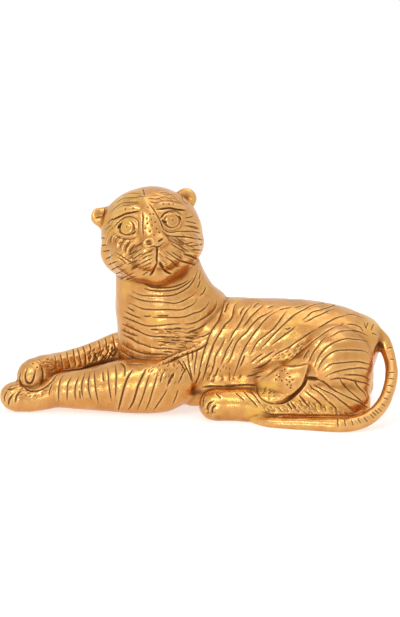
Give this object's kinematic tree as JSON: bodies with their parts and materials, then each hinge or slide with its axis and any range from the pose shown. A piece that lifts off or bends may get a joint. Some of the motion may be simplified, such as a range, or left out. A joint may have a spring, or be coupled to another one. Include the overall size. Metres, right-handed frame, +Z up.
{
  "type": "tiger figurine",
  "caption": "Cast brass figurine of a tiger lying down, with crossed forepaws, its head turned to the side and stripes chiselled all over.",
  "frame": {"origin": "on the ground, under the middle of the figure's box", "axes": "+X from the forepaws to the rump, +Z up; the tiger's left side, with the face and the tail, is on -Y"},
  "size_m": [0.2936, 0.12, 0.1652],
  "materials": {
    "brass": "polished cast brass, with a dark brown patina left in the chiselled stripes"
  },
  "bodies": {
    "root": {"tiger": "brass"}
  },
  "joints": []
}
